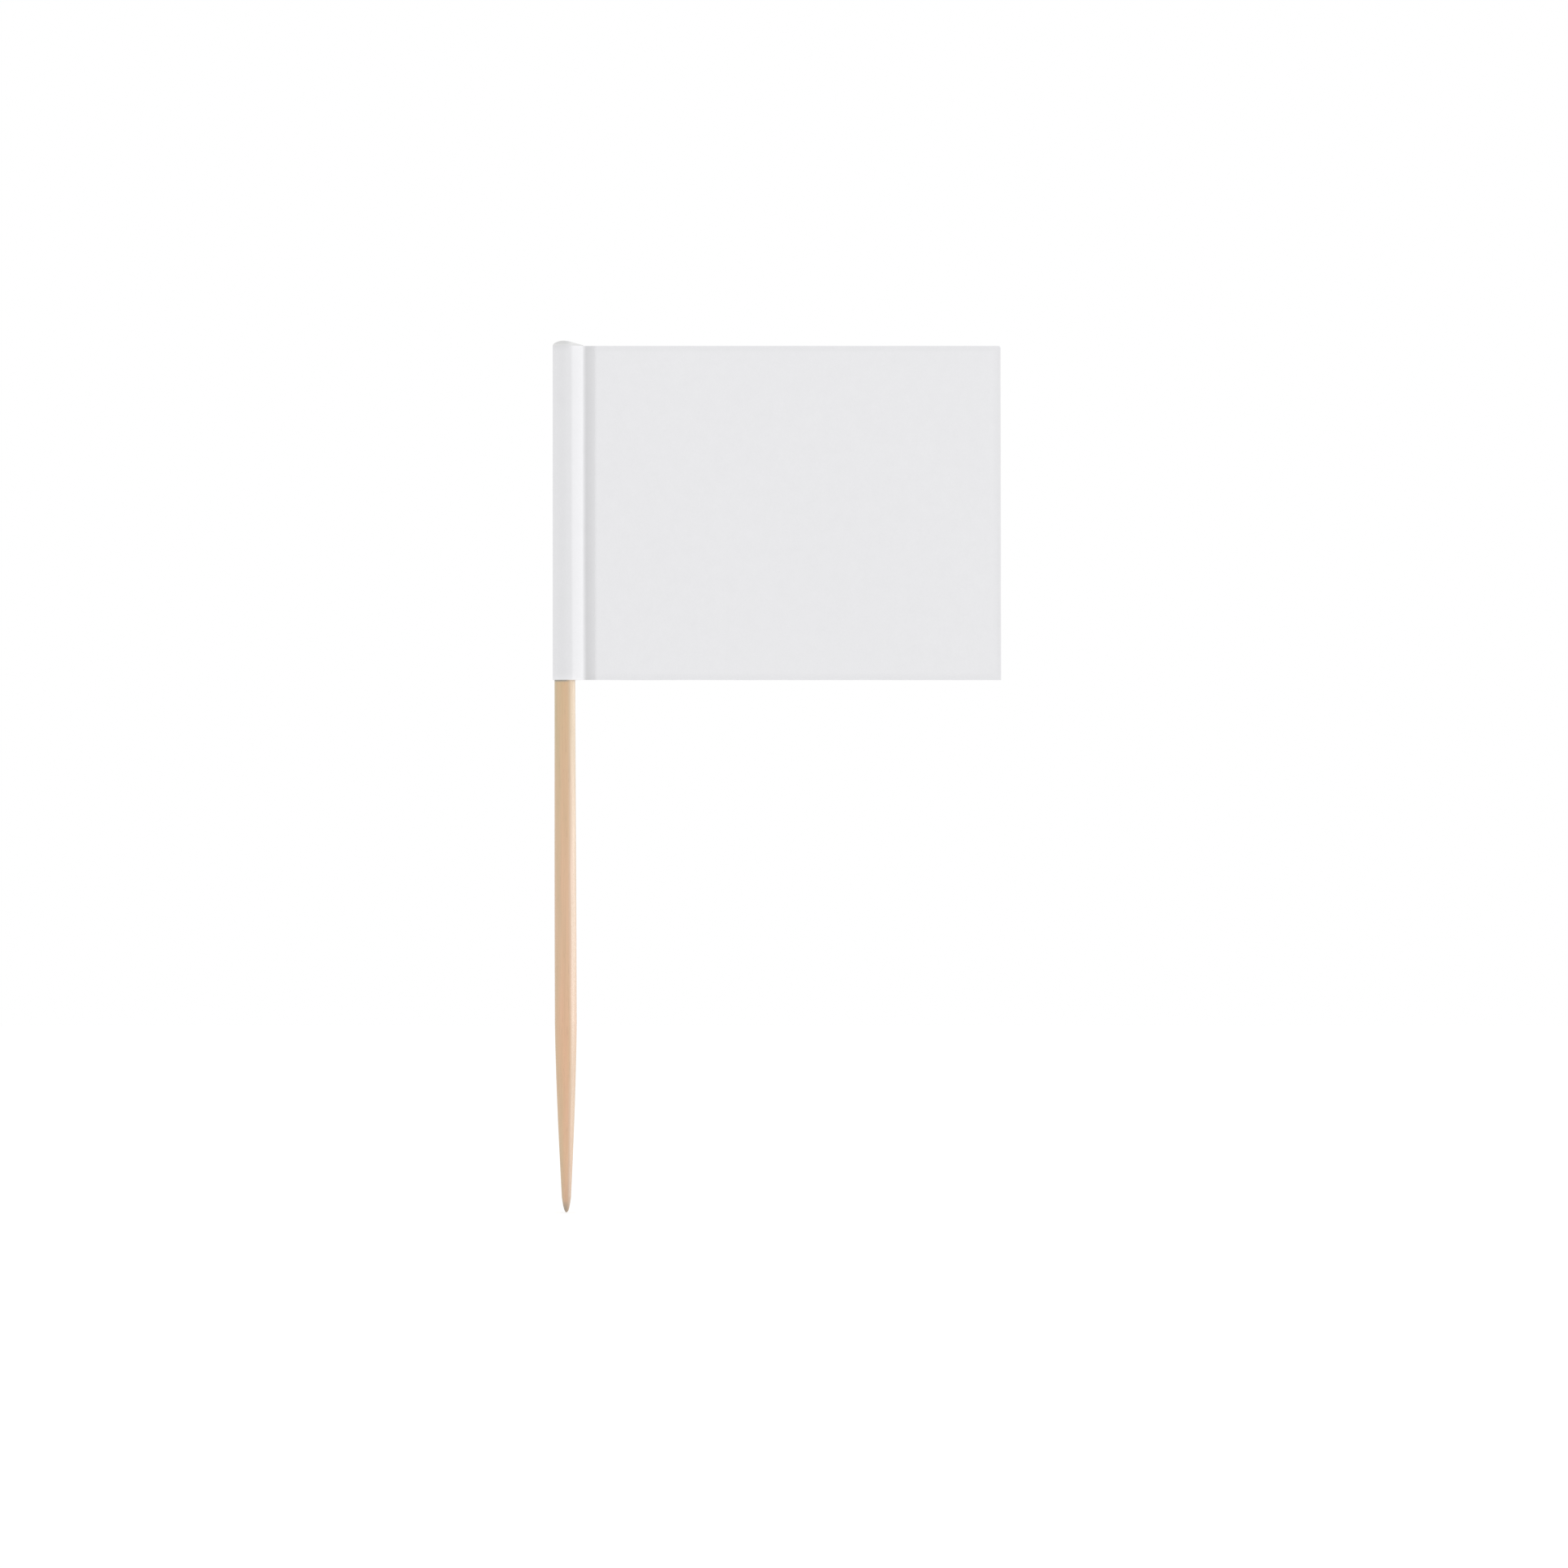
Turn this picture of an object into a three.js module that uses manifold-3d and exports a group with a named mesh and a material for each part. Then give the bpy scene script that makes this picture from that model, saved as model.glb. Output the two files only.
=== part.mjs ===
// Flag pick: a round wooden pick with a blank paper flag folded round its upper end and glued.
// Millimetres, +Z up. The origin is the tip of the pick's point. The flag reaches towards +X
// and its front faces -Y, so every outline below is drawn in XY, looking down the pick.

import * as THREE from 'three';
import { LoftGeometry } from 'three/addons/geometries/LoftGeometry.js';
import { mergeVertices } from 'three/addons/utils/BufferGeometryUtils.js';
import Module from 'manifold-3d';

// The wooden pick
const pickLength = 65;
const bellyRadius = 0.85; // the thickest stretch, below the flag
const bellyHeight = 20; // above the tip, where the stick starts to slim towards the flag
const shankRadius = 0.79; // inside the flag
const taperLength = 13.5; // from the tip to the full thickness
const taperFullness = 1.45; // 1 is a straight cone, more is rounder
const noseRadius = 0.345; // where the taper ends and the blunt, rounded point begins
const noseLength = 1.2;
const endRounding = 0.12; // round the sawn upper end

// The paper flag, one strip folded round the pick
const flagLength = 33.5; // from the outside of the wrap to the free edge
const flagHeight = 25;
const endAboveFlag = 0.15; // the pick's end stands this far above the flag's upper edge
const paperThickness = 0.1;
const wrapPlay = 0.015; // between the pick and the paper
const creaseGap = 0.68; // from the pick's side to where the leaves run together
const creaseRadius = 0.2; // of the bend beside the pick, at the middle of the paper
const pressedWidth = 0.75; // the strip beyond the crease where the leaves are pinched closest
const pressedRamp = 0.12; // from the pinched strip up to the full thickness

// The dried glue
const filmThickness = 0.09; // between the leaves
const pressedFilm = 0.05; // between them in the pinched strip
const filmMargin = 0.3; // the film stops this far inside the paper's edges
const wedgeThinnest = 0.04; // where the wedge between the pick and a leaf ends
const wedgeTongue = 0.1; // how far the wedge runs into the film
const gluePlay = 0.01; // between the wedge and its neighbours
const beadHeight = 0.42; // of the bead that closes the wrap's top
const beadInset = 0.02; // from the paper's outer face
const beadTailDrop = 0.52; // the share of its height that the bead loses on its way to the crease

// Facets
const roundSteps = 40;
const endSteps = 4;
const noseSteps = 8;
const taperSteps = 16;
const slimmingSteps = 8;
const wrapSteps = 22;
const creaseSteps = 4;
const beadSteps = 8;

// Heights above the tip
const flagTop = pickLength - endAboveFlag;
const flagFoot = flagTop - flagHeight;

// The folded strip seen from above. Its middle line is an arc round the pick that each leaf leaves
// on a straight tangent, then a small bend the other way, and then a straight run to the free edge.
const wrapRadius = shankRadius + wrapPlay + paperThickness / 2;
const pressedHalf = (pressedFilm + paperThickness) / 2;
const panelHalf = (filmThickness + paperThickness) / 2;
const creaseStart = shankRadius + creaseGap;
const pressedEnd = creaseStart + pressedWidth;
const panelStart = pressedEnd + pressedRamp;
const freeEdge = flagLength - wrapRadius - paperThickness / 2;
const pickAxis = new THREE.Vector2(0, 0);
const bendCentre = new THREE.Vector2(creaseStart, pressedHalf + creaseRadius);
const tangentTurn = Math.acos((wrapRadius + creaseRadius) / bendCentre.length());
const leaveAngle = bendCentre.angle() + tangentTurn; // where a leaf leaves the wrap, from +X

const wasm = await Module();
wasm.setup();

function polar(radius, angle) {
  return new THREE.Vector2(radius * Math.cos(angle), radius * Math.sin(angle));
}

function arc(centre, radius, fromAngle, toAngle, steps) {
  const points = [];
  for (let i = 0; i <= steps; i++) {
    const angle = THREE.MathUtils.lerp(fromAngle, toAngle, i / steps);
    points.push(polar(radius, angle).add(centre));
  }
  return points;
}

// An outline that is alike on both sides of the flag's middle plane. It runs in along the front,
// through the points on the plane and out along the back.
function mirrored(back, onPlane = []) {
  const front = back.map((point) => new THREE.Vector2(point.x, -point.y));
  return [...front.reverse(), ...onPlane, ...back];
}

// The bend at the crease, at a distance outwards from the middle of the paper.
function creaseBend(outwards) {
  return arc(bendCentre, creaseRadius - outwards, leaveAngle + Math.PI, 1.5 * Math.PI, creaseSteps);
}

// The straight run of the back leaf, from the end of the pinched strip to its own end.
function leafRun(outwards, end) {
  return [
    new THREE.Vector2(pressedEnd, pressedHalf + outwards),
    new THREE.Vector2(panelStart, panelHalf + outwards),
    new THREE.Vector2(end, panelHalf + outwards),
  ];
}

// The fold round the pick and both bends, with what follows them on the back leaf.
function foldLine(outwards, onward = []) {
  const radius = wrapRadius + outwards;
  const wrap = arc(pickAxis, radius, Math.PI, leaveAngle, wrapSteps).slice(1);
  return mirrored([...wrap, ...creaseBend(outwards), ...onward], [new THREE.Vector2(-radius, 0)]);
}

function extrudeUp(outline, foot, top) {
  const shape = new THREE.Shape(outline);
  const geometry = new THREE.ExtrudeGeometry(shape, { depth: top - foot, bevelEnabled: false });
  return geometry.translate(0, 0, foot);
}

function toSolid(geometry) {
  const bare = new THREE.BufferGeometry();
  bare.setAttribute('position', geometry.getAttribute('position'));
  bare.setIndex(geometry.index);
  const merged = mergeVertices(bare);
  const vertProperties = merged.getAttribute('position').array;
  const triVerts = Uint32Array.from(merged.index.array);
  return new wasm.Manifold(new wasm.Mesh({ numProp: 3, vertProperties, triVerts }));
}

function toGeometry(solid) {
  const { vertProperties, triVerts } = solid.getMesh();
  const geometry = new THREE.BufferGeometry();
  geometry.setAttribute('position', new THREE.BufferAttribute(vertProperties, 3));
  geometry.setIndex(new THREE.BufferAttribute(triVerts, 1));
  geometry.computeVertexNormals();
  return geometry;
}

// The pick's radius at a height above its rounded nose.
function stickRadius(height) {
  if (height < taperLength) {
    const left = 1 - (height - noseLength) / (taperLength - noseLength);
    return THREE.MathUtils.lerp(bellyRadius, noseRadius, left ** taperFullness);
  }
  const slimming = THREE.MathUtils.smoothstep(height, bellyHeight, flagFoot);
  return THREE.MathUtils.lerp(bellyRadius, shankRadius, slimming);
}

// The turned stick. Play makes it larger above its belly, to cut its place out of the glue.
function pickGeometry(play = 0) {
  const profile = [];
  for (let i = 0; i < noseSteps; i++) {
    const share = i / noseSteps;
    profile.push([noseRadius * share, noseLength * share ** 2]);
  }
  for (let i = 0; i < taperSteps; i++) {
    const height = THREE.MathUtils.lerp(noseLength, taperLength, i / taperSteps);
    profile.push([stickRadius(height), height]);
  }
  profile.push([bellyRadius, taperLength]);
  for (let i = 0; i <= slimmingSteps; i++) {
    const height = THREE.MathUtils.lerp(bellyHeight, flagFoot, i / slimmingSteps);
    profile.push([stickRadius(height) + play, height]);
  }
  const rounding = arc(
    new THREE.Vector2(shankRadius - endRounding, pickLength - endRounding),
    endRounding + play, 0, Math.PI / 2, endSteps,
  );
  profile.push(...rounding.map((point) => point.toArray()));
  profile.push([0, pickLength + play]);
  const points = profile.map(([radius, height]) => new THREE.Vector2(radius, height));
  return new THREE.LatheGeometry(points, roundSteps).rotateX(Math.PI / 2);
}

// The folded strip: two leaves, a bend at the crease and a snug wrap round the pick.
function flagGeometry() {
  const [outside, inside] = [paperThickness / 2, -paperThickness / 2].map(
    (outwards) => foldLine(outwards, leafRun(outwards, freeEdge)),
  );
  return extrudeUp([...outside, ...inside.reverse()], flagFoot, flagTop);
}

// The glue between the pick and the crease, wedge-shaped between the two leaves.
function glueWedge() {
  const inwards = -paperThickness / 2 - gluePlay;
  const thinRadius = shankRadius + gluePlay + wedgeThinnest;
  const thinAngle = leaveAngle - Math.acos((wrapRadius + inwards) / thinRadius);
  const bend = creaseBend(inwards);
  const tongue = new THREE.Vector2(creaseStart + wedgeTongue, bend.at(-1).y);
  const outline = mirrored([polar(thinRadius, thinAngle), ...bend, tongue], [pickAxis]);
  return extrudeUp(outline, flagFoot, flagTop);
}

// The film between the leaves. It fills the space between their inner faces exactly.
function glueFilm() {
  const start = new THREE.Vector2(creaseStart, pressedFilm / 2);
  const outline = mirrored([start, ...leafRun(-paperThickness / 2, freeEdge - filmMargin)]);
  return extrudeUp(outline, flagFoot + filmMargin, flagTop - filmMargin);
}

// The domed bead that closes the top of the wrap and falls away towards the crease.
function glueBead() {
  const rim = foldLine(paperThickness / 2 - beadInset).reverse();
  const sections = [];
  for (let i = 0; i < beadSteps; i++) {
    const angle = (i / beadSteps) * (Math.PI / 2);
    const section = rim.map((point) => {
      const x = point.x * Math.cos(angle);
      const y = point.y * Math.cos(angle);
      const tail = THREE.MathUtils.smoothstep(x, 0, creaseStart);
      const height = beadHeight * Math.sin(angle) * (1 - beadTailDrop * tail);
      return new THREE.Vector3(x, y, flagTop + height);
    });
    sections.push(section);
  }
  return new LoftGeometry(sections, { capStart: true, capEnd: true });
}

function glueGeometry() {
  const glue = toSolid(glueWedge()).add(toSolid(glueFilm())).add(toSolid(glueBead()));
  return toGeometry(glue.subtract(toSolid(pickGeometry(gluePlay))));
}

function part(name, geometry, material) {
  const mesh = new THREE.Mesh(geometry, material);
  mesh.name = name;
  return mesh;
}

const birch = new THREE.MeshStandardMaterial({ color: 0xd6b794, roughness: 0.62, metalness: 0 });
const whitePaper = new THREE.MeshStandardMaterial({ color: 0xf2f2f1, roughness: 0.85, metalness: 0 });
const whiteGlue = new THREE.MeshStandardMaterial({ color: 0xe9e9e6, roughness: 0.45, metalness: 0 });

const flagPick = new THREE.Group();
flagPick.add(part('pick', pickGeometry(), birch));
flagPick.add(part('paper_flag', flagGeometry(), whitePaper));
flagPick.add(part('glue', glueGeometry(), whiteGlue));

export default flagPick;
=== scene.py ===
import math

import bmesh
import bpy
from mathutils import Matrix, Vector, noise


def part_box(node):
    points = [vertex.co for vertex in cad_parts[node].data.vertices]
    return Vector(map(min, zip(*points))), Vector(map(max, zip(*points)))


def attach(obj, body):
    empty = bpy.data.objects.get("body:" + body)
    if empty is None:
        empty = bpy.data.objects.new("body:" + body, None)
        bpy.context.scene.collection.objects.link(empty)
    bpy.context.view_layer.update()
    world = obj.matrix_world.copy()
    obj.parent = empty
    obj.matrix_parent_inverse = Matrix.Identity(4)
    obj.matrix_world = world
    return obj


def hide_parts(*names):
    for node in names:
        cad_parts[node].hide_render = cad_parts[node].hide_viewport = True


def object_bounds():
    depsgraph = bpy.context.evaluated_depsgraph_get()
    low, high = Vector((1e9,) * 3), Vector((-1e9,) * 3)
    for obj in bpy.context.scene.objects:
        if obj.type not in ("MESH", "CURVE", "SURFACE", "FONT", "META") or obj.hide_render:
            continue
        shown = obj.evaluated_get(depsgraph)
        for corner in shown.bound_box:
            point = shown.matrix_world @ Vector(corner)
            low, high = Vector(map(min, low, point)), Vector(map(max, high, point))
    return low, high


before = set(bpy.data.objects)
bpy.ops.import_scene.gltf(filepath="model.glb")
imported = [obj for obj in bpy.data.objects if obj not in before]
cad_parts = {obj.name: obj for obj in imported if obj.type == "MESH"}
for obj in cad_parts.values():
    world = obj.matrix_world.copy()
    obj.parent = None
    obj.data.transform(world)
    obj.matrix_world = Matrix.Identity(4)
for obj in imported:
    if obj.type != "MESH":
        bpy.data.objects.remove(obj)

# Flag pick: a wooden stick with a blank paper flag folded and glued round its upper end.
# Settings are in millimetres and turned into metres where they are used. Angles are in degrees.
# A texture is given by its frequencies per metre, its detail and its roughness.
# Of four numbers in a row, two say where a change starts and ends, and two what it gives there.

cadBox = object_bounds()
mm = 0.001
mergeBelow = 0.0001
pickLow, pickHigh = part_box("pick")
flagLow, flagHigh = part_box("paper_flag")
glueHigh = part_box("glue")[1]
flagFoot, flagTop = flagLow.z, flagHigh.z
flagHeight = flagTop - flagFoot
freeEdge = flagHigh.x
wrapOutside = -flagLow.x  # the pick's axis is at x = 0, y = 0


# small helpers

def smoothStep(low, high, value):
    t = min(max((value - low) / (high - low), 0.0), 1.0)
    return t * t * (3 - 2 * t)


def mix(a, b, share):
    return a + (b - a) * share


def crowdEnds(share, by):  # spaces even steps closer together near 0 and 1
    return share - by * math.sin(2 * math.pi * share) / (2 * math.pi)


def softNoise(*place):  # between -1 and 1; a bare number among the three is a seed
    return noise.noise(Vector(place))


def fromRgb(red, green, blue):  # an 8-bit screen colour as Blender's linear colour
    def linear(value):
        value /= 255
        return value / 12.92 if value <= 0.04045 else ((value + 0.055) / 1.055) ** 2.4
    return (linear(red), linear(green), linear(blue), 1.0)


def plug(tree, value, socket):
    if isinstance(value, bpy.types.NodeSocket):
        tree.links.new(value, socket)
    else:
        socket.default_value = value


def addNode(tree, kind, inputs=None, **settings):
    node = tree.nodes.new(kind)
    for name, value in settings.items():
        setattr(node, name, value)
    for key, value in (inputs or {}).items():
        plug(tree, value, node.inputs[key])
    return node


def calc(tree, operation, *values, clamp=False):
    node = addNode(tree, "ShaderNodeMath", operation=operation, use_clamp=clamp)
    for socket, value in zip(node.inputs, values):
        plug(tree, value, socket)
    return node.outputs[0]


def remap(tree, value, low, high, toLow=0.0, toHigh=1.0, smooth=True):
    kind = "SMOOTHSTEP" if smooth else "LINEAR"
    inputs = {0: value, 1: low, 2: high, 3: toLow, 4: toHigh}
    return addNode(tree, "ShaderNodeMapRange", inputs, interpolation_type=kind).outputs[0]


def remapPlace(tree, place, low, high, *ends, smooth=True):  # the same, with low and high in millimetres
    return remap(tree, place, low * mm, high * mm, *ends, smooth=smooth)


def split(tree, vector):
    return addNode(tree, "ShaderNodeSeparateXYZ", {0: vector}).outputs


def scaled(tree, vector, factor):
    return addNode(tree, "ShaderNodeVectorMath", {0: vector, 3: factor}, operation="SCALE").outputs[0]


def stretchedNoise(tree, position, frequency, detail, rough):
    stretched = addNode(tree, "ShaderNodeVectorMath", {0: position, 1: frequency}, operation="MULTIPLY")
    inputs = {"Vector": stretched.outputs[0], "Scale": 1.0, "Detail": detail, "Roughness": rough}
    return addNode(tree, "ShaderNodeTexNoise", inputs).outputs[0]


def colourRamp(tree, value, stops):
    ramp = addNode(tree, "ShaderNodeValToRGB", {0: value})
    elements = ramp.color_ramp.elements
    elements[0].position, elements[0].color = stops[0]
    elements[1].position, elements[1].color = stops[-1]
    for position, colour in stops[1:-1]:
        elements.new(position).color = colour
    return ramp.outputs[0]


def blendColours(tree, share, first, second, kind="MIX"):
    inputs = {0: share, 6: first, 7: second}
    return addNode(tree, "ShaderNodeMix", inputs, data_type="RGBA", blend_type=kind).outputs[2]


def newMaterial(name):
    material = bpy.data.materials.new(name)
    material.use_nodes = True
    return material, material.node_tree, material.node_tree.nodes["Principled BSDF"]


def objectPlace(tree):
    return addNode(tree, "ShaderNodeTexCoord").outputs["Object"]


def facing(tree):  # X, Y and Z of the direction in which the surface faces
    return split(tree, addNode(tree, "ShaderNodeNewGeometry").outputs["Normal"])


def addBump(tree, shader, height, strength, depth):
    bump = addNode(tree, "ShaderNodeBump", {"Strength": strength, "Distance": depth * mm, "Height": height})
    tree.links.new(bump.outputs[0], shader.inputs["Normal"])


def newTree(name, sockets):
    tree = bpy.data.node_groups.new(name, "GeometryNodeTree")
    tree.interface.new_socket("Geometry", in_out="OUTPUT", socket_type="NodeSocketGeometry")
    for label, kind in sockets.items():
        tree.interface.new_socket(label, in_out="INPUT", socket_type="NodeSocket" + kind)
    return tree, tree.nodes.new("NodeGroupInput").outputs


def finishTree(tree, geometry, material):
    realized = addNode(tree, "GeometryNodeRealizeInstances", {0: geometry}).outputs[0]
    painted = addNode(tree, "GeometryNodeSetMaterial", {"Geometry": realized, "Material": material})
    tree.links.new(painted.outputs[0], tree.nodes.new("NodeGroupOutput").inputs[0])


def grow(name, tree, values):  # runs a tree on an empty mesh and keeps the result as a plain mesh
    holder = bpy.data.objects.new(name + "Base", bpy.data.meshes.new(name + "Base"))
    bpy.context.collection.objects.link(holder)
    modifier = holder.modifiers.new(name, "NODES")
    modifier.node_group = tree
    for item in tree.interface.items_tree:
        if item.in_out == "INPUT" and item.name in values:
            modifier[item.identifier] = values[item.name]
    graph = bpy.context.evaluated_depsgraph_get()
    mesh = bpy.data.meshes.new_from_object(holder.evaluated_get(graph))
    holder.modifiers.clear()
    bpy.data.objects.remove(holder)
    return addPiece(name, mesh)


def addPiece(name, mesh):
    mesh.name = name
    piece = bpy.data.objects.new(name, mesh)
    bpy.context.collection.objects.link(piece)
    return piece


def meshFrom(name, points, faces, material, sharpAbove):
    mesh = bpy.data.meshes.new(name)
    mesh.from_pydata(points, [], faces)
    work = bmesh.new()
    work.from_mesh(mesh)
    bmesh.ops.remove_doubles(work, verts=work.verts, dist=mergeBelow * mm)
    bmesh.ops.recalc_face_normals(work, faces=work.faces)
    work.to_mesh(mesh)
    work.free()
    mesh.shade_smooth()
    mesh.set_sharp_from_angle(angle=math.radians(sharpAbove))
    mesh.materials.append(material)
    return addPiece(name, mesh)


def gridFaces(wide, tall, start=0, closed=True):  # closed joins the last column to the first
    faces = []
    for row in range(tall - 1):
        for column in range(wide if closed else wide - 1):
            after = (column + 1) % wide
            faces.append((start + row * wide + column, start + row * wide + after,
                          start + (row + 1) * wide + after, start + (row + 1) * wide + column))
    return faces


def slabFaces(wide, tall):  # two open grids, one after the other, and the rim between them
    other = wide * tall
    faces = gridFaces(wide, tall, 0, False) + gridFaces(wide, tall, other, False)
    for row in range(tall - 1):
        for column in (0, wide - 1):
            a, b = row * wide + column, (row + 1) * wide + column
            faces.append((a, b, b + other, a + other))
    for row in (0, tall - 1):
        for column in range(wide - 1):
            a = row * wide + column
            faces.append((a, a + 1, a + 1 + other, a + other))
    return faces


# camera, framed as in the photograph

cameraSettings = {
    "distance": 520,
    "pixelsPerMm": 16.46,
    "photoWidth": 1932,
    "tipPixel": (695.4, 1493.8),  # the pick's axis and its tip in the photograph
    "sensorWidth": 36,
    "clipStart": 20,
    "clipEnd": 20000,
}


def addCamera(s):
    width = s["photoWidth"] / s["pixelsPerMm"]
    middle = s["photoWidth"] / 2
    lookX = (middle - s["tipPixel"][0]) / s["pixelsPerMm"]
    lookZ = (s["tipPixel"][1] - middle) / s["pixelsPerMm"]
    data = bpy.data.cameras.new("camera")
    data.sensor_width = s["sensorWidth"]
    data.lens = data.sensor_width * s["distance"] / width
    data.clip_start = s["clipStart"] * mm
    data.clip_end = s["clipEnd"] * mm
    camera = bpy.data.objects.new("camera", data)
    camera.location = (lookX * mm, -s["distance"] * mm, lookZ * mm)
    camera.rotation_euler = (math.pi / 2, 0, 0)
    bpy.context.collection.objects.link(camera)
    bpy.context.scene.camera = camera


addCamera(cameraSettings)
print("camera set")


# materials

woodLook = {
    "coloursUp": [  # from the point up to the flag
        (0.0, fromRgb(208, 172, 138)),
        (0.1, fromRgb(222, 182, 144)),
        (0.3, fromRgb(224, 180, 141)),
        (0.55, fromRgb(223, 182, 146)),
        (0.95, fromRgb(216, 181, 140)),
    ],
    "coloursUpTo": 40,
    "paintedSideShading": [  # painted light round the stick, from its left side to its right: painted shade on the left, away from the lamps, and a cooler painted highlight tint on the right
        (0.1, (0.88, 0.965, 0.98, 1)),
        (0.36, (1.0, 1.0, 1.0, 1)),
        (0.62, (1.0, 1.0, 1.0, 1)),
        (0.76, (0.9, 0.985, 1.09, 1)),
    ],
    "paintedShadingSway": 0.2,  # how much the bands shift the painted shading round the stick
    "bands": ((1900, 1900, 130), 2, 0.5),
    "bandTints": [  # broad soft bands, from brownish to rosy
        (0.3, (0.94, 0.98, 0.96, 1)),
        (0.5, (1.0, 1.0, 1.0, 1)),
        (0.7, (1.04, 1.0, 1.03, 1)),
    ],
    "fibre": ((13000, 13000, 130), 4, 0.6),
    "fibreTones": (0.3, 0.72, 0.94, 1.03),
    "pores": ((16000, 16000, 700), 2, 0.5),
    "poreTones": (0.62, 0.72, 1.0, 0.86),
    "paintedFootShadow": fromRgb(158, 152, 138),  # painted shadow: the thin dark line on the wood just under the paper's lower edge
    "paintedFootShadowUnder": (0.19, 0.057),  # it starts and is full this far below that edge
    # the painted shadow is strongest on the left and fades towards the right, where the lamps are
    "paintedFootShadowAcross": (0.1, 0.5, 0.9, 0.2),
    "darkerPoint": fromRgb(168, 150, 130),  # the very point is darker
    "darkerPointUp": (0.25, 1.1, 1.0, 0.0),
    "darkerPointRound": (-0.1, 0.7, 1.0, 0.3),  # painted shade: the point is darker on its left side and less so on the side that faces the lamps on the right
    "roughness": (0.3, 0.7, 0.46, 0.31),  # by the fibre
    "gloss": 1.0,
    "bump": (0.2, 0.01),  # strength and depth
}


def makeWood(s):
    material, tree, shader = newMaterial("birchStick")
    place = objectPlace(tree)
    across, height = split(tree, place)["X"], split(tree, place)["Z"]
    right = facing(tree)["X"]
    fibre = stretchedNoise(tree, place, *s["fibre"])
    bands = stretchedNoise(tree, place, *s["bands"])
    pores = stretchedNoise(tree, place, *s["pores"])
    # colours up the stick, tinted by the bands, with light and shade painted round it
    colour = colourRamp(tree, remapPlace(tree, height, 0, s["coloursUpTo"], smooth=False), s["coloursUp"])
    colour = blendColours(tree, 1.0, colour, colourRamp(tree, bands, s["bandTints"]), "MULTIPLY")
    sway = calc(tree, "MULTIPLY_ADD", bands, s["paintedShadingSway"], 0.5 - s["paintedShadingSway"] / 2)
    turned = calc(tree, "MULTIPLY_ADD", right, 0.5, sway)  # about 0 on the left side and 1 on the right, which faces the lamps; it places the painted shade and highlight tint
    colour = blendColours(tree, 1.0, colour, colourRamp(tree, turned, s["paintedSideShading"]), "MULTIPLY")
    # fibres and pores
    tone = remap(tree, fibre, *s["fibreTones"], smooth=False)
    tone = calc(tree, "MULTIPLY", tone, remap(tree, pores, *s["poreTones"]))
    colour = scaled(tree, colour, tone)
    # painted shadow under the paper's lower edge, and the darker point with painted shade on its left side
    start, full = [flagFoot - depth * mm for depth in s["paintedFootShadowUnder"]]
    fade = remapPlace(tree, across, *s["paintedFootShadowAcross"])
    footShadowShare = calc(tree, "MULTIPLY", remap(tree, height, start, full), fade)
    colour = blendColours(tree, footShadowShare, colour, s["paintedFootShadow"])
    low = remapPlace(tree, height, *s["darkerPointUp"])
    darkerPoint = calc(tree, "MULTIPLY", low, remap(tree, right, *s["darkerPointRound"]))
    colour = blendColours(tree, darkerPoint, colour, s["darkerPoint"])
    tree.links.new(colour, shader.inputs["Base Color"])
    tree.links.new(remap(tree, fibre, *s["roughness"], smooth=False), shader.inputs["Roughness"])
    shader.inputs["Specular IOR Level"].default_value = s["gloss"]
    addBump(tree, shader, fibre, *s["bump"])
    return material


paperLook = {
    "white": fromRgb(240, 240, 242),
    "cloud": ((900, 900, 900), 5, 0.6),
    "cloudTones": (0.25, 0.75, 0.99, 1.01),
    "fibre": ((9000, 9000, 6000), 4, 0.65),
    "fibreTones": (0.25, 0.75, 0.985, 1.01),
    "roughness": 0.88,
    "gloss": 0.3,
    "bump": (0.35, 0.006),
}


def makePaper(s):
    material, tree, shader = newMaterial("whitePaper")
    place = objectPlace(tree)
    cloud = stretchedNoise(tree, place, *s["cloud"])
    fibre = stretchedNoise(tree, place, *s["fibre"])
    # the paper's tone by what lies behind it, with light and shade painted round the fold
    backingAndShade = addNode(tree, "ShaderNodeAttribute", attribute_name="paperToneAndShade").outputs["Fac"]
    tone = remap(tree, cloud, *s["cloudTones"], smooth=False)
    tone = calc(tree, "MULTIPLY", tone, remap(tree, fibre, *s["fibreTones"], smooth=False))
    tone = calc(tree, "MULTIPLY", tone, backingAndShade)
    tree.links.new(scaled(tree, s["white"][:3], tone), shader.inputs["Base Color"])
    shader.inputs["Roughness"].default_value = s["roughness"]
    shader.inputs["Specular IOR Level"].default_value = s["gloss"]
    addBump(tree, shader, fibre, *s["bump"])
    return material


glueLook = {
    "white": fromRgb(224, 224, 224),
    "cloud": ((2500, 2500, 2500), 3, 0.5),
    "cloudTones": (0.25, 0.75, 0.97, 1.02),
    "topShade": 0.88,  # painted shade: the bead is darker where it faces up
    "topShadeUp": (0.3, 0.85),
    "topShadeAcross": (0.1, 0.7, 1.0, 0.0),  # but not beyond the stick
    "roughness": 0.5,
    "bump": (0.3, 0.02),
}


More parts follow.
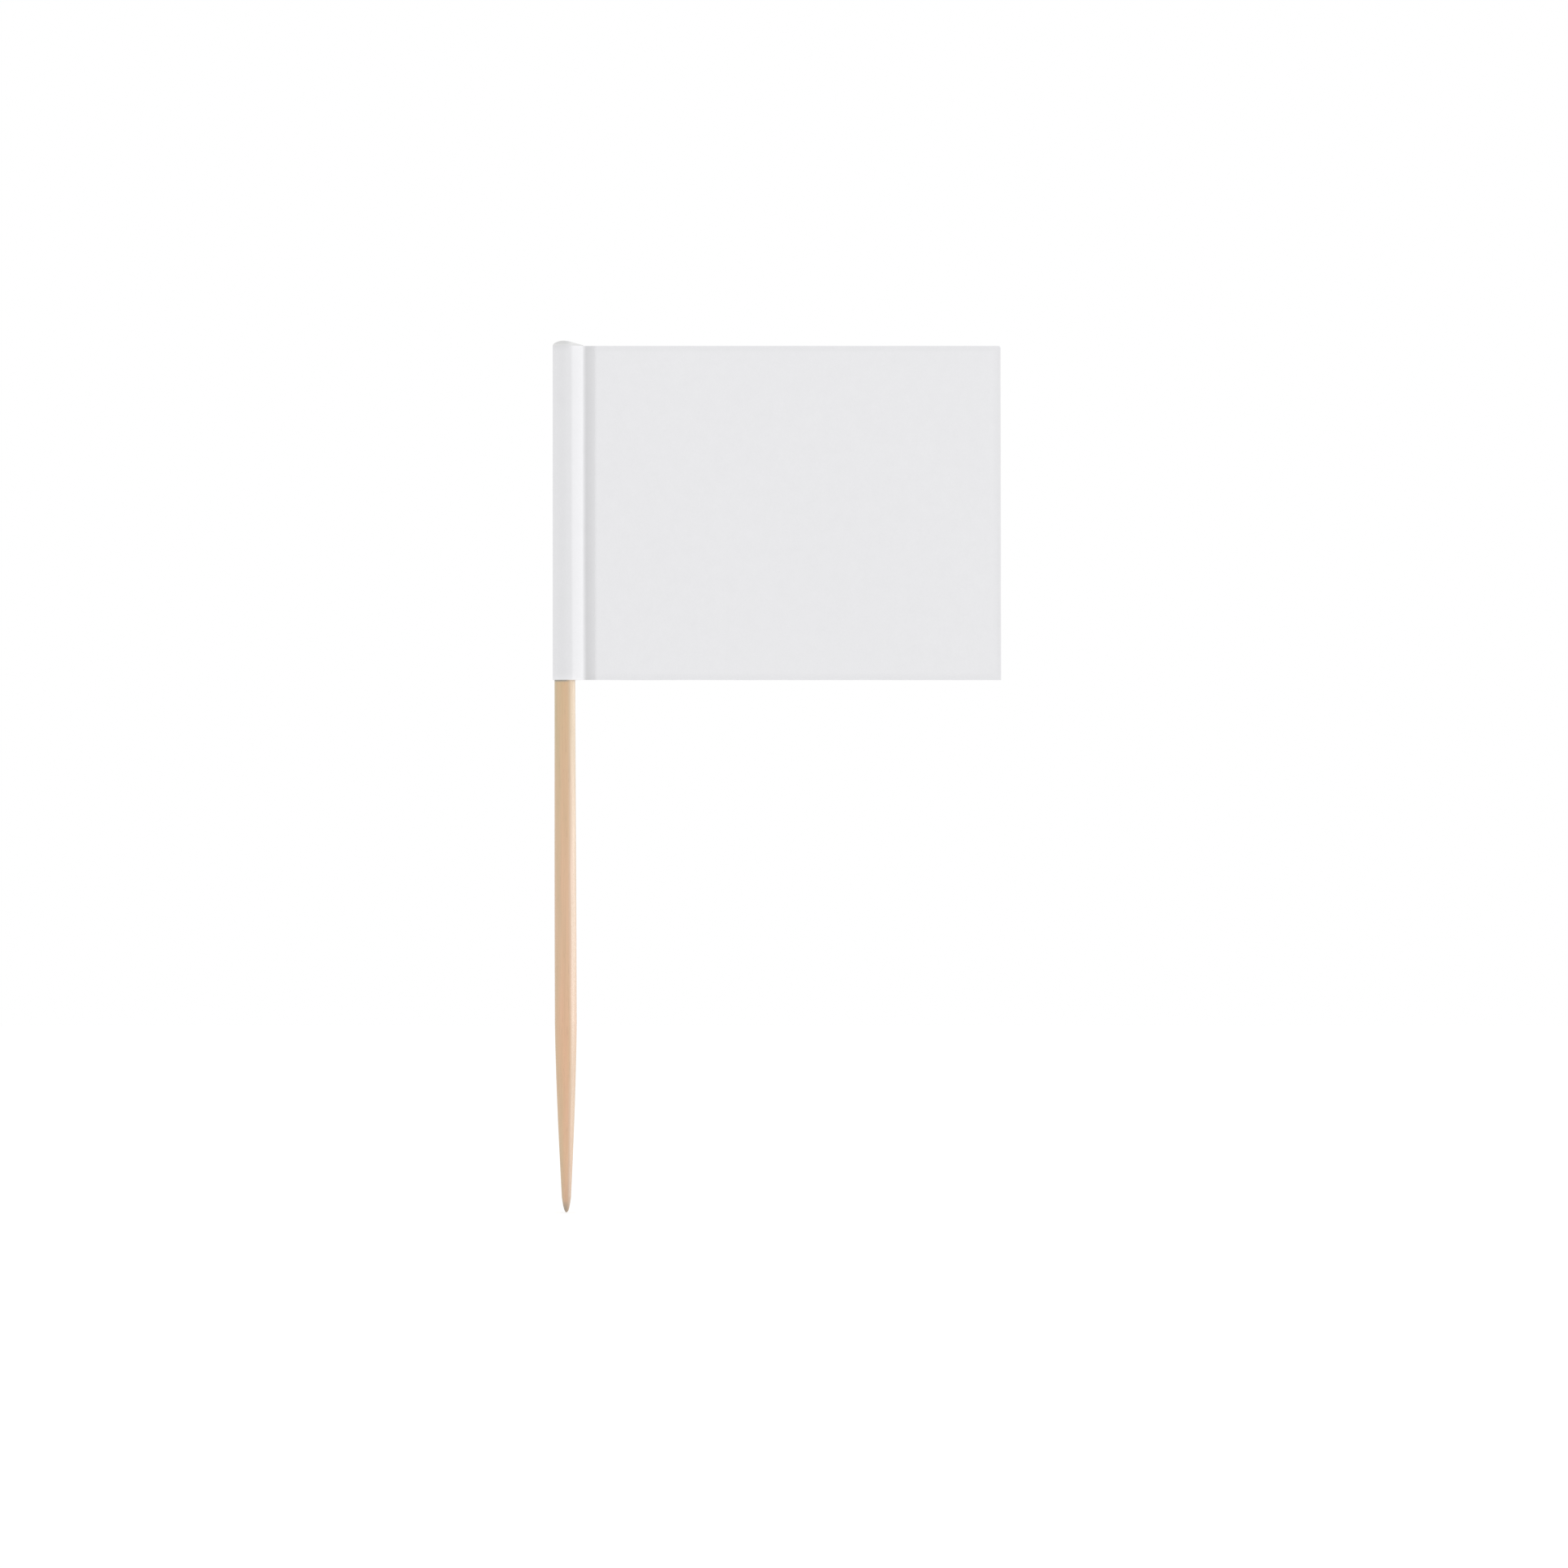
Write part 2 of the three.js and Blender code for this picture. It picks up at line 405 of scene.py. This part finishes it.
def makeGlue(s):
    material, tree, shader = newMaterial("driedGlue")
    place = objectPlace(tree)
    cloud = stretchedNoise(tree, place, *s["cloud"])
    # painted shade on the bead where it faces up, over the stick only
    upwards = remap(tree, facing(tree)["Z"], *s["topShadeUp"])
    topShade = calc(tree, "MULTIPLY", upwards, remapPlace(tree, split(tree, place)["X"], *s["topShadeAcross"]))
    tone = remap(tree, cloud, *s["cloudTones"], smooth=False)
    tone = calc(tree, "MULTIPLY", tone, remap(tree, topShade, 0.0, 1.0, 1.0, s["topShade"], smooth=False))
    tree.links.new(scaled(tree, s["white"][:3], tone), shader.inputs["Base Color"])
    shader.inputs["Roughness"].default_value = s["roughness"]
    addBump(tree, shader, cloud, *s["bump"])
    return material


wood = makeWood(woodLook)
paper = makePaper(paperLook)
glue = makeGlue(glueLook)
print("materials made")


# the wooden stick

pickSettings = {
    "Belly Radius": 0.83,
    "Shank Radius": 0.79,
    "Slim From": 20,
    "Nose Radius": 0.36,
    "Nose Length": 1.15,
    "Taper Length": 14.2,
    "End Rounding": 0.12,
    "Lean": 0.155,  # the stick bows a little, so that its point stands this far towards the free edge
    "Flats": 0.02,  # how far the long shaved flats dip
    "Grooves": 0.009,  # how deep the fibre grooves are
    "Blunt": 0.03,  # the smallest radius, at both ends
}
pickNumbers = {"Fullness": 1.45, "Rings": 420, "Sides": 96}  # a fullness of 1 is a straight cone
pickForm = {
    "crowding": 0.95,  # how much closer together the rings stand at both ends, below 1
    "bowPower": 1.5,  # more keeps the bow nearer the point
    "nosePower": 0.4,  # less makes the nose blunter
    "flats": ((900, 900, 25), 1, 0.5),
    "grooves": ((7000, 7000, 160), 3, 0.5),
    "sharpAbove": 50,
}


def stickTree(s):
    lengths = {name: "Float" for name in ["Length", "Slim To", *pickSettings]}
    tree, given = newTree("turnedStick", {
        **lengths, "Fullness": "Float", "Rings": "Int", "Sides": "Int", "Material": "Material"})
    line = addNode(tree, "GeometryNodeCurvePrimitiveLine", {"Start": (0, 0, 0), "End": (0, 0, 1)})
    rings = addNode(tree, "GeometryNodeResampleCurve", {"Curve": line.outputs[0], "Count": given["Rings"]})
    along = addNode(tree, "GeometryNodeSplineParameter").outputs["Factor"]
    # rings up a slightly bowed axis
    wave = calc(tree, "SINE", calc(tree, "MULTIPLY", along, 2 * math.pi))
    crowded = calc(tree, "MULTIPLY", wave, s["crowding"] / (2 * math.pi))
    height = calc(tree, "MULTIPLY", calc(tree, "SUBTRACT", along, crowded), given["Length"])
    below = remap(tree, height, 0.0, given["Length"], 1.0, 0.0, smooth=False)
    aside = calc(tree, "MULTIPLY", calc(tree, "POWER", below, s["bowPower"]), given["Lean"])
    spot = addNode(tree, "ShaderNodeCombineXYZ", {0: aside, 2: height}).outputs[0]
    axis = addNode(tree, "GeometryNodeSetPosition", {"Geometry": rings.outputs[0], "Position": spot})
    # a rounded nose, a convex taper, a belly and a slimmer shank
    belly = given["Belly Radius"]
    place = addNode(tree, "GeometryNodeInputPosition").outputs[0]
    height = split(tree, place)["Z"]
    nose = calc(tree, "DIVIDE", height, given["Nose Length"], clamp=True)
    nose = calc(tree, "POWER", nose, s["nosePower"])
    left = remap(tree, height, given["Nose Length"], given["Taper Length"], 1.0, 0.0, smooth=False)
    taper = calc(tree, "POWER", left, given["Fullness"])
    taper = calc(tree, "MULTIPLY", taper, calc(tree, "SUBTRACT", belly, given["Nose Radius"]))
    slim = remap(tree, height, given["Slim From"], given["Slim To"])
    slim = calc(tree, "MULTIPLY", slim, calc(tree, "SUBTRACT", belly, given["Shank Radius"]))
    radius = calc(tree, "SUBTRACT", calc(tree, "SUBTRACT", belly, taper), slim)
    radius = calc(tree, "MULTIPLY", radius, nose)
    # the rounded upper end
    rounding = given["End Rounding"]
    fromEnd = calc(tree, "SUBTRACT", given["Length"], height)
    end = calc(tree, "SUBTRACT", 1.0, calc(tree, "DIVIDE", fromEnd, rounding, clamp=True))
    end = calc(tree, "SQRT", calc(tree, "SUBTRACT", 1.0, calc(tree, "MULTIPLY", end, end)))
    drop = calc(tree, "MULTIPLY", calc(tree, "SUBTRACT", 1.0, end), rounding)
    radius = calc(tree, "MAXIMUM", calc(tree, "SUBTRACT", radius, drop), given["Blunt"])
    sides = {"Resolution": given["Sides"], "Radius": 1.0}
    circle = addNode(tree, "GeometryNodeCurvePrimitiveCircle", sides)
    stick = addNode(tree, "GeometryNodeCurveToMesh", {
        "Curve": axis.outputs[0], "Profile Curve": circle.outputs[0], "Scale": radius, "Fill Caps": True})
    # shaved flats and fibre grooves, both only inwards
    flats = calc(tree, "MULTIPLY", stretchedNoise(tree, place, *s["flats"]), given["Flats"])
    grooves = calc(tree, "MULTIPLY", stretchedNoise(tree, place, *s["grooves"]), given["Grooves"])
    dip = calc(tree, "MULTIPLY", calc(tree, "ADD", flats, grooves), -1.0)
    offset = scaled(tree, addNode(tree, "GeometryNodeInputNormal").outputs[0], dip)
    carved = addNode(tree, "GeometryNodeSetPosition", {"Geometry": stick.outputs[0], "Offset": offset})
    smooth = addNode(tree, "GeometryNodeSetShadeSmooth", {"Geometry": carved.outputs[0]})
    finishTree(tree, smooth.outputs[0], given["Material"])
    return tree


def addStick(s):
    values = {name: value * mm for name, value in pickSettings.items()}
    values.update(pickNumbers)
    values.update({"Length": pickHigh.z, "Slim To": flagFoot, "Material": wood})
    stick = grow("woodenStick", stickTree(s), values)
    stick.data.set_sharp_from_angle(angle=math.radians(s["sharpAbove"]))
    return stick


stick = addStick(pickForm)
print("stick turned", len(stick.data.vertices))


# the folded paper strip

foldSettings = {
    "paperThickness": 0.08,
    "snug": 0.03,  # the wrap is this much tighter than the solid's
    "creaseGap": 0.645,  # from the stick's side to where the leaves run together
    "creaseRadius": 0.2,
    "pressedFilm": 0.04,  # between the leaves in the pinched strip
    "film": 0.12,  # between them in the rest of the flag
    "pressedWidth": 0.777,
    "pressedRamp": 0.1,
    "backShort": 0.05,  # the leaves don't end quite alike
    "frontLong": 0.045,
    "slant": 0.04,  # how much longer both leaves are at the foot
    "endReach": 1.2,  # a leaf is stretched or shortened over this length
    "cornerRadius": 0.17,
    "wave": 0.07,  # slow bends of the glued leaves
    "waveLengths": (13, 15),  # along the leaves and up them
    "waveFullPast": 7,  # from the start of the leaves
    "cockle": 0.006,  # fine waves where the glue has dried
    "cockleLengths": (2.6, 3.4),
    "cockleFullPast": 1,
    "edgeWander": 0.02,
    "edgeLengths": (4, 0.35),  # of the slow and the fine part of it
    "edgeShares": (0.8, 0.2),
    "levelShare": 0.6,  # how much of it the upper and the lower edge have
    "topSeed": 11,
    "topReach": 0.3,
    "topFullPast": 4,  # from the stick's axis
    "footSeed": 17,
    "footReach": 0.5,
    "wrapSteps": 40,
    "slopeSteps": 16,
    "creaseSteps": 8,
    "pressedSteps": 16,
    "rampSteps": 3,
    "leafSteps": 110,
    "leafCrowding": 0.7,
    "rows": 110,
    "rowCrowding": 0.9,
    "sharpAbove": 40,
}
toneSettings = {  # how light the thin paper looks, partly by what lies behind it and partly as painted light and shade round the fold; 1 is the plain leaf
    "overStick": 0.929,
    # lighter where the paper leaves the stick, partly as no wood lies behind it and partly as painted light
    # on the slope that faces the lamps on the right
    "overGap": 1.035,
    "gapFromTo": (-0.05, 0.2),  # each pair moves the start and the end of a change
    # painted highlight on the slope just before the crease
    "atCrease": 1.095,
    "creaseFromTo": (0.1, 0),
    "pinched": 0.803,  # painted shade in the strip beside the crease, where the bulge of the wrap shades the paper
    "pinchedAbove": 0.012,  # how much lighter it is at the top
    "pinchedDrift": (0.01, 1.5),  # how much it varies, and over what length
    "pinchedFromTo": (-0.15, 0.23),
    # painted shade, fainter, over the rest of the pressed strip
    "pressed": 0.884,
    "pressedFrom": 0.27,  # past the crease
    "pressedShort": 0.32,  # how much narrower than the pinched strip the change is
    "plainFromTo": (-0.12, 0.17),
    "placeDrift": (0.02, 3),  # how much all these places wander, and over what length
    "placeFoot": 0.03,  # and how much farther out they are at the foot
    "belowBead": 0.945,  # darker just below the bead, over the stick
    "beadFromTo": (-0.5, 0),
    "beadAcross": (0, 0.8),
    "atFoot": 1.055,  # lighter near the foot, over the stick
    "footFromTo": (0.45, 0),
    "footAcross": (0.4, 0),
    "cutEdge": 0.972,  # slightly darker just inside the cut edges
    "cutFromTo": (0.6, 0.15),
    "cutAcross": (0, 0.5),
}


def foldGeometry(s):  # plan of the strip's middle line, in metres
    half = s["paperThickness"] / 2 * mm
    wrapRadius = wrapOutside - s["snug"] * mm - half
    pressedHalf = s["pressedFilm"] / 2 * mm + half
    creaseStart = pickSettings["Shank Radius"] * mm + s["creaseGap"] * mm
    bendRadius = s["creaseRadius"] * mm
    bend = Vector((creaseStart, pressedHalf + bendRadius))
    leave = math.atan2(bend.y, bend.x) + math.acos((wrapRadius + bendRadius) / bend.length)
    return {
        "wrapRadius": wrapRadius, "pressedHalf": pressedHalf, "panelHalf": s["film"] / 2 * mm + half,
        "creaseStart": creaseStart, "bend": bend, "bendRadius": bendRadius, "leave": leave,
        "pressedEnd": creaseStart + s["pressedWidth"] * mm,
        "panelStart": creaseStart + (s["pressedWidth"] + s["pressedRamp"]) * mm,
    }


plan = foldGeometry(foldSettings)


def backHalf(s, p):  # (x, y, normal x, normal y) from the wrap's far side to the free edge
    rows = []
    for i in range(1, s["wrapSteps"] + 1):
        angle = mix(math.pi, p["leave"], i / s["wrapSteps"])
        out = Vector((math.cos(angle), math.sin(angle)))
        rows.append((*(out * p["wrapRadius"]), *out))
    wrapEnd, bendStart = out * p["wrapRadius"], p["bend"] - out * p["bendRadius"]
    for i in range(1, s["slopeSteps"]):
        rows.append((*wrapEnd.lerp(bendStart, i / s["slopeSteps"]), *out))
    for i in range(s["creaseSteps"] + 1):
        angle = mix(p["leave"] + math.pi, 1.5 * math.pi, i / s["creaseSteps"])
        out = Vector((-math.cos(angle), -math.sin(angle)))
        rows.append((*(p["bend"] - out * p["bendRadius"]), *out))
    for i in range(1, s["pressedSteps"] + 1):
        rows.append((mix(p["creaseStart"], p["pressedEnd"], i / s["pressedSteps"]), p["pressedHalf"], 0, 1))
    for i in range(1, s["rampSteps"] + 1):
        share = i / s["rampSteps"]
        y = mix(p["pressedHalf"], p["panelHalf"], smoothStep(0, 1, share))
        rows.append((mix(p["pressedEnd"], p["panelStart"], share), y, 0, 1))
    for i in range(1, s["leafSteps"] + 1):
        x = mix(p["panelStart"], freeEdge, crowdEnds(i / s["leafSteps"], s["leafCrowding"]))
        rows.append((x, p["panelHalf"], 0, 1))
    return rows


def flagColumns(s, p):
    back = backHalf(s, p)
    front = [(x, -y, nx, -ny) for x, y, nx, ny in reversed(back)]
    return [*front, (-p["wrapRadius"], 0.0, -1.0, 0.0), *back]


def change(start, end, fromTo, value):  # from 0 to 1 between two places, each moved by its number of fromTo
    return smoothStep(start + fromTo[0] * mm, end + fromTo[1] * mm, value)


def drift(howMuch, length, place, seed):
    return howMuch * softNoise(place / (length * mm), seed, 0)


def toneAt(s, p, x, z):
    wrapEnd, crease = p["wrapRadius"] * math.cos(p["leave"]), p["creaseStart"]
    low = smoothStep(flagTop, flagFoot, z)
    x += (drift(*s["placeDrift"], z, 1.5) - s["placeFoot"] * low) * mm
    pinched = s["pinched"] + s["pinchedAbove"] * (1 - low) + drift(*s["pinchedDrift"], z, 7.5)
    # lighter over the gap, with a painted highlight towards the crease on the slope that faces the lamps
    tone = mix(s["overStick"], s["overGap"], change(wrapEnd, wrapEnd, s["gapFromTo"], x))
    tone = mix(tone, s["atCrease"], change(wrapEnd, crease, s["creaseFromTo"], x))
    # painted shade beside the crease, then fainter over the pressed strip
    tone = mix(tone, pinched, change(crease, crease, s["pinchedFromTo"], x))
    past = (x - crease - s["pressedFrom"] * mm) / (p["pressedEnd"] - crease - s["pressedShort"] * mm)
    tone = mix(tone, s["pressed"], min(max(past, 0), 1))
    tone = mix(tone, 1, change(p["pressedEnd"], p["panelStart"], s["plainFromTo"], x))
    beadShare = change(flagTop, flagTop, s["beadFromTo"], z) * (1 - change(0, 0, s["beadAcross"], x))
    footShare = change(flagFoot, flagFoot, s["footFromTo"], z) * (1 - change(0, crease, s["footAcross"], x))
    inside = min(z - flagFoot, flagTop - z, freeEdge - x)
    cutShare = change(0, 0, s["cutFromTo"], inside) * change(crease, crease, s["cutAcross"], x)
    for place, share in (("belowBead", beadShare), ("atFoot", footShare), ("cutEdge", cutShare)):
        tone *= mix(1, s[place], share)
    return tone


def panelSway(x, z):  # how far both leaves stray from the flag's middle plane
    s = foldSettings
    sway = 0
    for kind, seed in (("wave", 3.1), ("cockle", 8.4)):
        along, up = s[kind + "Lengths"]
        fade = smoothStep(plan["panelStart"], plan["panelStart"] + s[kind + "FullPast"] * mm, x)
        sway += s[kind] * softNoise(x / (along * mm), z / (up * mm), seed) * fade
    return sway * mm


def edgeWander(place, seed):
    s = foldSettings
    (slowLength, fineLength), (slowShare, fineShare) = s["edgeLengths"], s["edgeShares"]
    slow = softNoise(place / (slowLength * mm), seed, 0)
    fine = softNoise(place / (fineLength * mm), seed, 5)
    return (slowShare * slow + fineShare * fine) * s["edgeWander"] * mm


def cornerInset(z):
    r = foldSettings["cornerRadius"] * mm
    above = min(max(z - (flagTop - r), 0.0), r)
    return r - math.sqrt(r * r - above * above)


def flagPoint(column, z, side, leaf):
    s = foldSettings
    x, y, nx, ny = column
    slant = s["slant"] * mm * (flagTop - z) / flagHeight
    short = s["backShort"] * mm if leaf > 0 else -s["frontLong"] * mm
    short += cornerInset(z) - edgeWander(z, leaf) - slant
    nearEdge = smoothStep(freeEdge - s["endReach"] * mm, freeEdge, x)
    half = s["paperThickness"] / 2 * mm * side
    nearTop = smoothStep(flagTop - s["topReach"] * mm, flagTop, z) * s["levelShare"]
    nearTop *= smoothStep(plan["creaseStart"], s["topFullPast"] * mm, x)
    nearFoot = 1 - smoothStep(flagFoot, flagFoot + s["footReach"] * mm, z)
    lift = edgeWander(x, s["topSeed"] + leaf) * nearTop
    lift += edgeWander(x, s["footSeed"] + leaf) * nearFoot * s["levelShare"]
    return (x + nx * half - short * nearEdge, y + ny * half + panelSway(x, z), z + lift)


def addFlag(s, p):
    columns = flagColumns(s, p)
    shares = [crowdEnds(i / s["rows"], s["rowCrowding"]) for i in range(s["rows"] + 1)]
    heights = [flagFoot + flagHeight * share for share in shares]
    wide, tall = len(columns), len(heights)
    points = []
    for side in (1, -1):  # the outer faces of the leaves, then the inner ones
        for z in heights:
            for i, column in enumerate(columns):
                leaf = 1 if i > wide // 2 else -1
                points.append(flagPoint(column, z, side, leaf))
    flag = meshFrom("paperFlag", points, slabFaces(wide, tall), paper, s["sharpAbove"])
    tone = flag.data.attributes.new("paperToneAndShade", "FLOAT", "POINT")
    for i in range(2 * wide * tall):
        tone.data[i].value = toneAt(toneSettings, p, columns[i % wide][0], heights[i // wide % tall])
    return flag


flag = addFlag(foldSettings, plan)
print("flag folded", len(flag.data.vertices))


# the dried glue: bead, wedge and film

glueSettings = {
    "beadTailDrop": 0.52,  # the share of its height that the bead loses on its way to the crease
    "beadInset": 0.004,  # from the paper's outer face
    "beadSwell": 0.03,
    "swellLength": 0.5,
    "beadRings": 14,
    "socketSteps": 4,
    "play": 0.01,  # between the bead and the stick, and between the wedge and the paper
    "stickPlay": 0.04,  # between the wedge and the stick
    "wedgeFrom": 21,  # past the point where a leaf leaves the stick
    "wedgeSteps": 12,
    "recess": 0.12,  # the wedge's lower end sits inside the fold
    "filmMargin": 0.3,
    "marginLevel": 1.2,  # times the margin, give or take one margin
    "marginWaves": (11, 9),  # along the leaves and up them
    "filmGrid": (50, 40),
    "sharpAbove": 60,
}


def foldOffset(s, p, distance):  # the back half's wrap and bends, so far outwards from the paper's middle
    rows = backHalf(s, p)[:s["wrapSteps"] + s["slopeSteps"] + s["creaseSteps"]]
    return [(x + nx * distance, y + ny * distance) for x, y, nx, ny in rows]


def socketProfile(s):  # (radius, height) of the bead's socket round the stick's end, from its top down
    corner = pickSettings["End Rounding"] * mm
    reach = corner + s["play"] * mm
    shank = pickSettings["Shank Radius"] * mm
    profile = []
    for i in range(s["socketSteps"] + 1):
        angle = (1 - i / s["socketSteps"]) * math.pi / 2
        radius, up = shank - corner + reach * math.cos(angle), reach * math.sin(angle)
        profile.append((radius, pickHigh.z - corner + up))
    return profile + [(shank - corner + reach, flagTop)]


def beadShell(s, p):
    inset = (foldSettings["paperThickness"] / 2 - s["beadInset"]) * mm
    back = foldOffset(foldSettings, p, inset)
    rim = [(x, -y) for x, y in reversed(back)] + [(-p["wrapRadius"] - inset, 0.0)] + back
    tall = glueHigh.z - flagTop
    socket = socketProfile(s)
    points = []
    for radius, z in socket:
        for x, y in rim:
            share = radius / math.hypot(x, y)
            points.append((x * share, y * share, z))
    grain = s["swellLength"] * mm
    for i in range(s["beadRings"]):
        angle = i / s["beadRings"] * math.pi / 2
        for x, y in rim:
            x, y = x * math.cos(angle), y * math.cos(angle)
            tail = smoothStep(0, p["creaseStart"], x)
            swell = 1 - s["beadSwell"] + s["beadSwell"] * softNoise(x / grain, y / grain, 2)
            points.append((x, y, flagTop + tall * math.sin(angle) * (1 - s["beadTailDrop"] * tail) * swell))
    points.append((0, 0, glueHigh.z))
    points.append((0, 0, socket[0][1]))
    wide, rings = len(rim), len(socket) + s["beadRings"]
    faces = gridFaces(wide, rings)
    top = (rings - 1) * wide
    for column in range(wide):
        after = (column + 1) % wide
        faces.append((top + column, top + after, len(points) - 2))
        faces.append((after, column, len(points) - 1))
    return points, faces


def wedgeShell(s, p):
    inwards = -(foldSettings["paperThickness"] / 2 + s["play"]) * mm
    shank = (pickSettings["Shank Radius"] + s["stickPlay"]) * mm
    start = p["leave"] - math.radians(s["wedgeFrom"])
    back = [(x, y) for x, y in foldOffset(foldSettings, p, inwards) if math.atan2(y, x) < start]
    angles = [start * (2 * i / s["wedgeSteps"] - 1) for i in range(s["wedgeSteps"] + 1)]
    ring = [(shank * math.cos(a), shank * math.sin(a)) for a in angles] + back
    ring += [(x, -y) for x, y in reversed(back)]
    points = []
    for z in (flagFoot + s["recess"] * mm, flagFoot + 2 * s["recess"] * mm, flagTop):
        points += [(x, y, z) for x, y in ring]
    faces = gridFaces(len(ring), 3)
    faces.append(tuple(range(len(ring))))
    faces.append(tuple(range(2 * len(ring), 3 * len(ring))))
    return points, faces


def filmShell(s, p):
    wide, tall = s["filmGrid"]
    alongWaves, upWaves = s["marginWaves"]

    def margin(place, seed):
        return s["filmMargin"] * mm * (s["marginLevel"] + softNoise(place, seed, 4))

    points = []
    for side in (1, -1):
        for row in range(tall):
            for column in range(wide):
                across, up = column / (wide - 1), row / (tall - 1)
                x = mix(p["creaseStart"], freeEdge - margin(up * upWaves, 0), across)
                low = flagFoot + margin(across * alongWaves, 1)
                high = flagTop - margin(across * alongWaves, 2)
                z = mix(low, high, up)
                rise = smoothStep(p["pressedEnd"], p["panelStart"], x)
                half = mix(foldSettings["pressedFilm"], foldSettings["film"], rise) / 2 * mm
                points.append((x, side * half + panelSway(x, z), z))
    return points, slabFaces(wide, tall)


def addGlue(s, p):
    points, faces = [], []
    for shellPoints, shellFaces in (beadShell(s, p), wedgeShell(s, p), filmShell(s, p)):
        faces += [tuple(i + len(points) for i in face) for face in shellFaces]
        points += shellPoints
    return meshFrom("driedGlue", points, faces, glue, s["sharpAbove"])


gluePiece = addGlue(glueSettings, plan)
print("glue laid", len(gluePiece.data.vertices))


# floor, backdrop and lamps

stageSettings = {
    "floorSize": 800,
    "floorBelow": 0.02,
    "floorTone": 0.8,
    "floorGlow": 0.24,
    "ambient": 0.97,
}


def seenDirectly(tree):  # 1 for what the camera sees, also in reflections and through things, else 0
    path = addNode(tree, "ShaderNodeLightPath").outputs
    seen = calc(tree, "MAXIMUM", path["Is Camera Ray"], path["Is Glossy Ray"])
    return calc(tree, "MAXIMUM", seen, path["Is Transmission Ray"])


def addFloor(s):
    size = s["floorSize"] * mm / 2
    z = pickLow.z - s["floorBelow"] * mm
    corners = [(-size, -size, z), (size, -size, z), (size, size, z), (-size, size, z)]
    mesh = bpy.data.meshes.new("floor")
    mesh.from_pydata(corners, [], [(0, 1, 2, 3)])
    material, tree, shader = newMaterial("paleFloor")
    shader.inputs["Base Color"].default_value = (s["floorTone"], s["floorTone"], s["floorTone"], 1)
    shader.inputs["Roughness"].default_value = 1.0
    shader.inputs["Specular IOR Level"].default_value = 0.0
    shader.inputs["Emission Color"].default_value = (1, 1, 1, 1)
    glow = calc(tree, "MULTIPLY", seenDirectly(tree), s["floorGlow"])
    tree.links.new(glow, shader.inputs["Emission Strength"])
    mesh.materials.append(material)
    floor = addPiece("floor", mesh)


def addWorld(s):
    world = bpy.data.worlds.new("studio")
    bpy.context.scene.world = world
    world.use_nodes = True
    tree = world.node_tree
    back = tree.nodes["Background"]
    back.inputs["Color"].default_value = (1, 1, 1, 1)
    strength = remap(tree, seenDirectly(tree), 0.0, 1.0, s["ambient"], 1.0, smooth=False)
    tree.links.new(strength, back.inputs["Strength"])


lampSettings = {  # a white face square to a lamp shows its level
    "stripRight": {
        "azimuth": 83, "elevation": 3, "distance": 1400, "width": 900, "height": 350, "level": 0.15},
    "rimRight": {
        "azimuth": 118, "elevation": 3, "distance": 1400, "width": 900, "height": 350, "level": 0.16},
    "fillLeft": {
        "azimuth": -75, "elevation": 20, "distance": 1600, "width": 1200, "height": 1200, "level": 0.06},
    "glintRight": {
        "azimuth": 78, "elevation": -11, "distance": 110, "width": 105, "height": 22, "level": 0.34,
        "glossOnly": True},
}


def addLamps(lamps, target):
    for name, s in lamps.items():
        distance = s["distance"] * mm
        azimuth, elevation = math.radians(s["azimuth"]), math.radians(s["elevation"])
        data = bpy.data.lights.new(name, "AREA")
        data.shape = "RECTANGLE"
        data.size = s["width"] * mm
        data.size_y = s["height"] * mm
        data.energy = s["level"] * math.pi ** 2 * distance ** 2
        away = Vector((math.sin(azimuth) * math.cos(elevation), -math.cos(azimuth) * math.cos(elevation),
                       math.sin(elevation)))
        lamp = bpy.data.objects.new(name, data)
        lamp.visible_diffuse = not s.get("glossOnly", False)
        lamp.location = target + away * distance
        lamp.rotation_euler = away.to_track_quat("Z", "Y").to_euler()
        bpy.context.collection.objects.link(lamp)


addFloor(stageSettings)
addWorld(stageSettings)
addLamps(lampSettings, (cadBox[0] + cadBox[1]) / 2)
bpy.context.scene.view_settings.view_transform = "Standard"
print("stage lit")


# what rides on what

for piece, node, slotName in (
    (stick, "pick", "stick_wood"),
    (flag, "paper_flag", "white_paper"),
    (gluePiece, "glue", "dried_glue"),
):
    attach(piece, "root")
    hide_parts(node)
